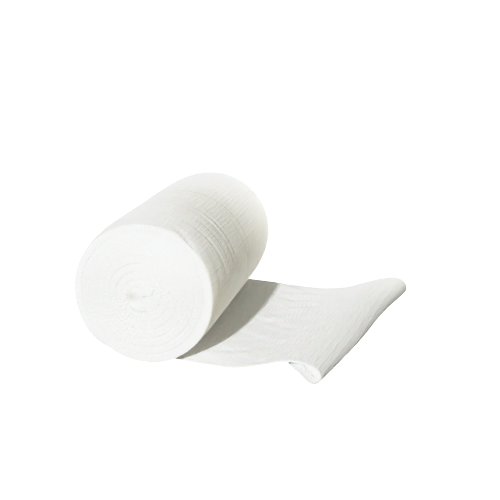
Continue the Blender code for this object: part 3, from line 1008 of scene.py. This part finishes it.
def add_lamp(name, toward, distance, size, strength, colour, only_on=None, aim=(0.0, 0.0, 0.02)):
    """A soft round lamp that stands in the given direction from its aim. strength is what a matt white
    surface facing it would show. With only_on it lights those pieces alone."""
    toward = Vector(toward).normalized()
    aim = Vector(aim)
    data = bpy.data.lights.new(name, "AREA")
    data.shape = "DISK"
    data.size = size
    data.energy = strength * (math.pi * distance) ** 2
    data.color = colour
    lamp = bpy.data.objects.new(name, data)
    bpy.context.scene.collection.objects.link(lamp)
    lamp.location = aim + toward * distance
    lamp.rotation_euler = (-toward).to_track_quat("-Z", "Y").to_euler()
    lamp.visible_camera = False
    if only_on:
        lit = bpy.data.collections.new(name + " lights")
        for piece in only_on:
            lit.objects.link(piece)
        lamp.light_linking.receiver_collection = lit


def plain_material(name, base, glow):
    nodes = Nodes(name)
    nodes.put(nodes.shader, {"Base Color": (*base, 1.0), "Roughness": 0.95, "Specular IOR Level": 0.0,
                             "Emission Color": (1.0, 1.0, 1.0, 1.0), "Emission Strength": glow})
    return nodes.material


# How bright the lightest tones are shown, so that the knit still shows in them
TONES = ((0.25, 0.25), (0.50, 0.50), (0.72, 0.715), (0.86, 0.825), (1.00, 0.885), (1.18, 0.940),
         (1.45, 0.980), (1.80, 0.994))
WHITE_LEVEL = 2.0
# How the blue of light tones is shown, which makes the lightest ones a cooler white
BLUE_TONES = ((0.50, 0.500), (0.75, 0.752), (0.84, 0.853), (0.87, 0.913), (0.90, 0.965), (0.94, 0.985))


def beside_roll(x, y, z):
    """A place in roll radii from the near end of the roll's axis."""
    return PLACE + Vector((x, y, z)) * ROLL_RADIUS


def add_lamps(roll_pieces, loose_pieces):
    add_lamp("key lamp", (-0.125, -1.7, 1.0), 2.5, 0.12, 1.08, (0.93, 0.958, 1.03))
    add_lamp("second key lamp", (-0.125, -1.7, 1.0), 2.5, 0.12, 0.12, (0.93, 0.955, 1.03), loose_pieces)
    add_lamp("top lamp", (-0.5, 0.35, 1.0), 1.6, 1.3, 0.12, (1.0, 0.98, 0.93))
    add_lamp("low warm lamp", (1.0, -0.5, 0.04), 1.6, 1.2, 0.124, (1.0, 0.89, 0.22), roll_pieces)
    add_lamp("back lamp", (-0.10, 1.0, 0.18), 1.6, 0.8, 1.27, (1.0, 0.99, 0.97), roll_pieces)
    add_lamp("far corner lamp", (0.71, 0.60, 0.38), 0.055, 0.03, 0.78, (1.0, 0.99, 0.98), roll_pieces,
             aim=beside_roll(0.95, 3.0, 1.25))
    add_lamp("front lamp", (-0.15, -1.0, 0.45), 0.05, 0.03, 0.10, (1.0, 0.96, 0.80), loose_pieces,
             aim=beside_roll(0.80, 0.42, 0.03))
    add_lamp("rim lamp", (1.0, -0.25, 0.10), 0.03, 0.02, 0.06, (1.0, 0.93, 0.52), roll_pieces,
             aim=beside_roll(0.92, 0.36, 0.50))
    add_lamp("far lamp", (0.5, 1.0, 1.2), 0.05, 0.035, 0.55, (1.0, 0.99, 0.95), loose_pieces,
             aim=(0.06, 0.052, 0.01))


def set_tones():
    view = bpy.context.scene.view_settings
    view.view_transform = "Standard"
    view.use_curve_mapping = True
    mapping = view.curve_mapping
    mapping.white_level = (WHITE_LEVEL, WHITE_LEVEL, WHITE_LEVEL)
    mapping.extend = "EXTRAPOLATED"
    all_colours, blue = mapping.curves[3], mapping.curves[2]
    all_colours.points[0].location = (0.0, 0.0)
    all_colours.points[-1].location = (1.0, 1.0)
    for light, shown in TONES:
        all_colours.points.new(light / WHITE_LEVEL, shown)
    for light, shown in BLUE_TONES:
        blue.points.new(light, shown)
    mapping.update()


def make_studio(roll_pieces, loose_pieces):
    bpy.ops.mesh.primitive_cylinder_add(vertices=96, radius=9.0, depth=9.0, location=(0, 0, 4.4995))
    backdrop = bpy.context.object
    backdrop.name = "backdrop"
    backdrop.data.materials.append(plain_material("backdrop white", (0.0, 0.0, 0.0), 3.0))
    backdrop.select_set(False)
    bpy.ops.mesh.primitive_plane_add(size=2.4, location=(0, 0, -0.0002))
    floor = bpy.context.object
    floor.name = "floor"
    floor.data.materials.append(plain_material("floor pale", (0.52, 0.50, 0.45), 0.0))
    floor.select_set(False)
    # The backdrop only shows, and the floor only lights the cloth from below.
    for ray in ("visible_diffuse", "visible_glossy", "visible_transmission", "visible_shadow"):
        setattr(backdrop, ray, False)
    floor.visible_camera = False
    add_lamps(roll_pieces, loose_pieces)
    world = bpy.data.worlds.new("studio")
    bpy.context.scene.world = world
    world.use_nodes = True
    sky = world.node_tree.nodes["Background"]
    sky.inputs["Color"].default_value = (1.0, 0.972, 0.82, 1.0)
    sky.inputs["Strength"].default_value = 0.206
    set_tones()


make_camera()
# Painted shade of the dished near face makes the knit a little darker and warmer left and right of the core,
# and above it.
painted_shade_places = ((PLACE.x - 0.020, 0.036, 0.026, 0.22), (PLACE.x + 0.024, 0.030, 0.024, 0.20),
               (PLACE.x - 0.004, 0.050, 0.020, 0.10))
# A hook of painted shadow, for the hollow of the core, lies round the waist of the inner end.
core_x, core_z = PLACE.x + AXIS_X, AXIS_HEIGHT + CORE_RISE
hook_shadow_places = ((core_x - 0.0041, core_z - 0.0010, 0.0037, 1.0),
               (core_x - 0.0015, core_z - 0.0010, 0.0031, 0.7),
               (core_x + 0.0019, core_z - 0.0012, 0.0026, 0.5))
tongue_knit = knit("inner end knit", painted_shade_places=hook_shadow_places)
plain_knit = knit("inner turns knit", painted_shade_places=painted_shade_places + hook_shadow_places, relief=INNER_RELIEF)
roll_pieces = [make_outer_turn(), make_inner_turns(plain_knit), make_inner_tongue(tongue_knit)]
loose_pieces = [make_loose_end(knit("loose end knit", edge_shade=EDGE_SHADE))]
make_studio(roll_pieces, loose_pieces)
